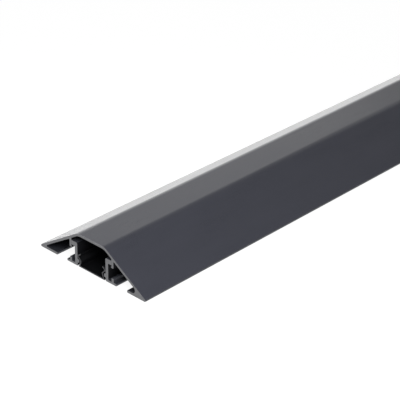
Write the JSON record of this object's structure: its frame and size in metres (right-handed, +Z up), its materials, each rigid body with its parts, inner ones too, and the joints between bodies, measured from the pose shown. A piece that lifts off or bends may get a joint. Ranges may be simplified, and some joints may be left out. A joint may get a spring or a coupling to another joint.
{
  "type": "floor cord cover",
  "caption": "Ramp-sided floor cord cover: a clip-on lid profile over upright side rails and a clip-in floor plate, leaving an open channel for cables.",
  "frame": {"origin": "centre of the underside: middle of the length, on the centre line, at floor level", "axes": "+Y along the length, +Z up from the floor, +X across the cover to its right-hand ramp"},
  "size_m": [0.2, 1, 0.05],
  "materials": {
    "lid": "anthracite fine-texture powder coat on extruded aluminium, bare sawn ends",
    "rail": "anthracite powder coat on extruded aluminium, bare sawn ends",
    "plate": "matt black extruded plastic"
  },
  "bodies": {
    "root": {"cover": "lid", "side_rail_left": "rail", "side_rail_right": "rail", "floor_plate": "plate"}
  },
  "joints": []
}
